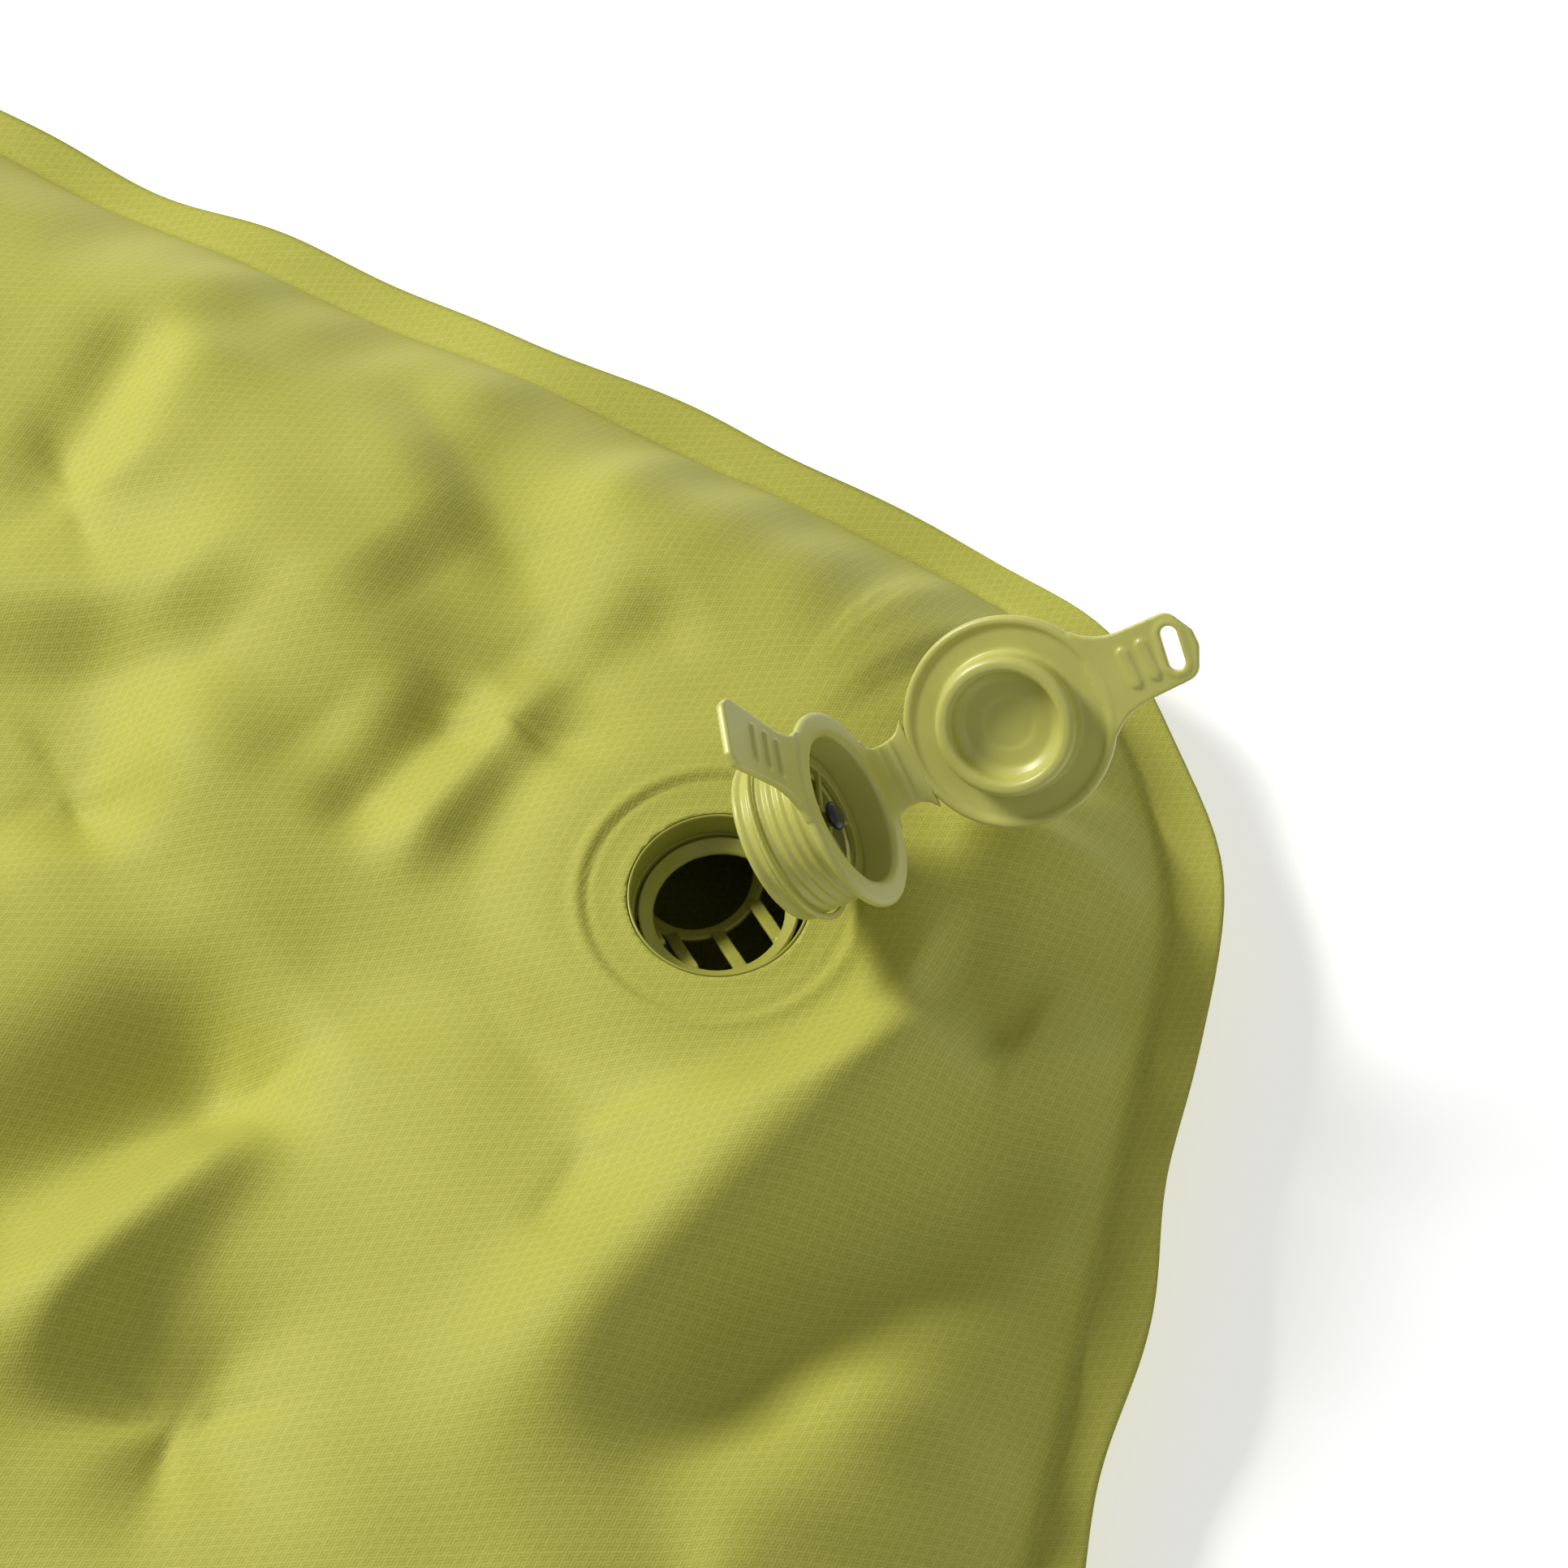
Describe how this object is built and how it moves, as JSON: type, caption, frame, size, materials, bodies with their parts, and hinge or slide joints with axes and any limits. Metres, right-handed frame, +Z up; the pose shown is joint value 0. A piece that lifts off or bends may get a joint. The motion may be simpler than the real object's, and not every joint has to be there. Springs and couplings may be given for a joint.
{
  "type": "inflatable sleeping pad",
  "caption": "Tapered inflatable sleeping pad with spot-welded fabric panels, a welded rim and a captive flat valve shown open at a head corner.",
  "frame": {"origin": "centre of the bounding box at the underside the pad lies on", "axes": "+Y along the pad towards the head end, +X towards the side with the valve, +Z up"},
  "size_m": [0.5444, 1.83, 0.1191],
  "materials": {
    "shell_fabric": "fine ripstop weave, matt with a soft sheen",
    "valve_moulding": "smooth satin moulding",
    "cap_moulding": "smooth satin moulding",
    "flap_rubber": "matt silicone",
    "stem_plastic": "satin dark plastic"
  },
  "bodies": {
    "pad": {"top_panel": "shell_fabric", "top_panel_valve_area": "shell_fabric", "under_panel": "shell_fabric", "valve_base": "valve_moulding"},
    "cage": {"retainer_cage": "valve_moulding"},
    "collar": {"stopper_collar": "valve_moulding"},
    "stopper": {"stopper": "cap_moulding", "check_seat": "valve_moulding"},
    "poppet": {"check_flap": "flap_rubber", "stem_button": "stem_plastic"},
    "cap": {"cap": "cap_moulding"}
  },
  "joints": [
    {"name": "tether_fold", "type": "hinge", "parent": "pad", "child": "collar", "pos_m": [0.16261, 0.81123, 0.05673], "axis": [0.5962, -0.8028, 0], "range_deg": [0, 57.8]},
    {"name": "stopper_press", "type": "slide", "parent": "collar", "child": "stopper", "axis": [-0.6793, -0.5045, -0.5329], "range_m": [0, 0.0092]},
    {"name": "cage_sink", "type": "slide", "parent": "pad", "child": "cage", "axis": [0, 0, -1], "range_m": [0, 0.01101]},
    {"name": "cap_fold", "type": "hinge", "parent": "stopper", "child": "cap", "pos_m": [0.16275, 0.82915, 0.06969], "axis": [0.7334, -0.4435, -0.5151], "range_deg": [0, 96]},
    {"name": "flap_lift", "type": "slide", "parent": "stopper", "child": "poppet", "axis": [-0.6793, -0.5045, -0.5329], "range_m": [0, 0.0015], "stiffness_N_per_m": 120, "springref_m": -0.0008}
  ],
  "couplings": [
    {"joint": "cage_sink", "follows": "stopper_press", "ratio": 1.1957}
  ]
}
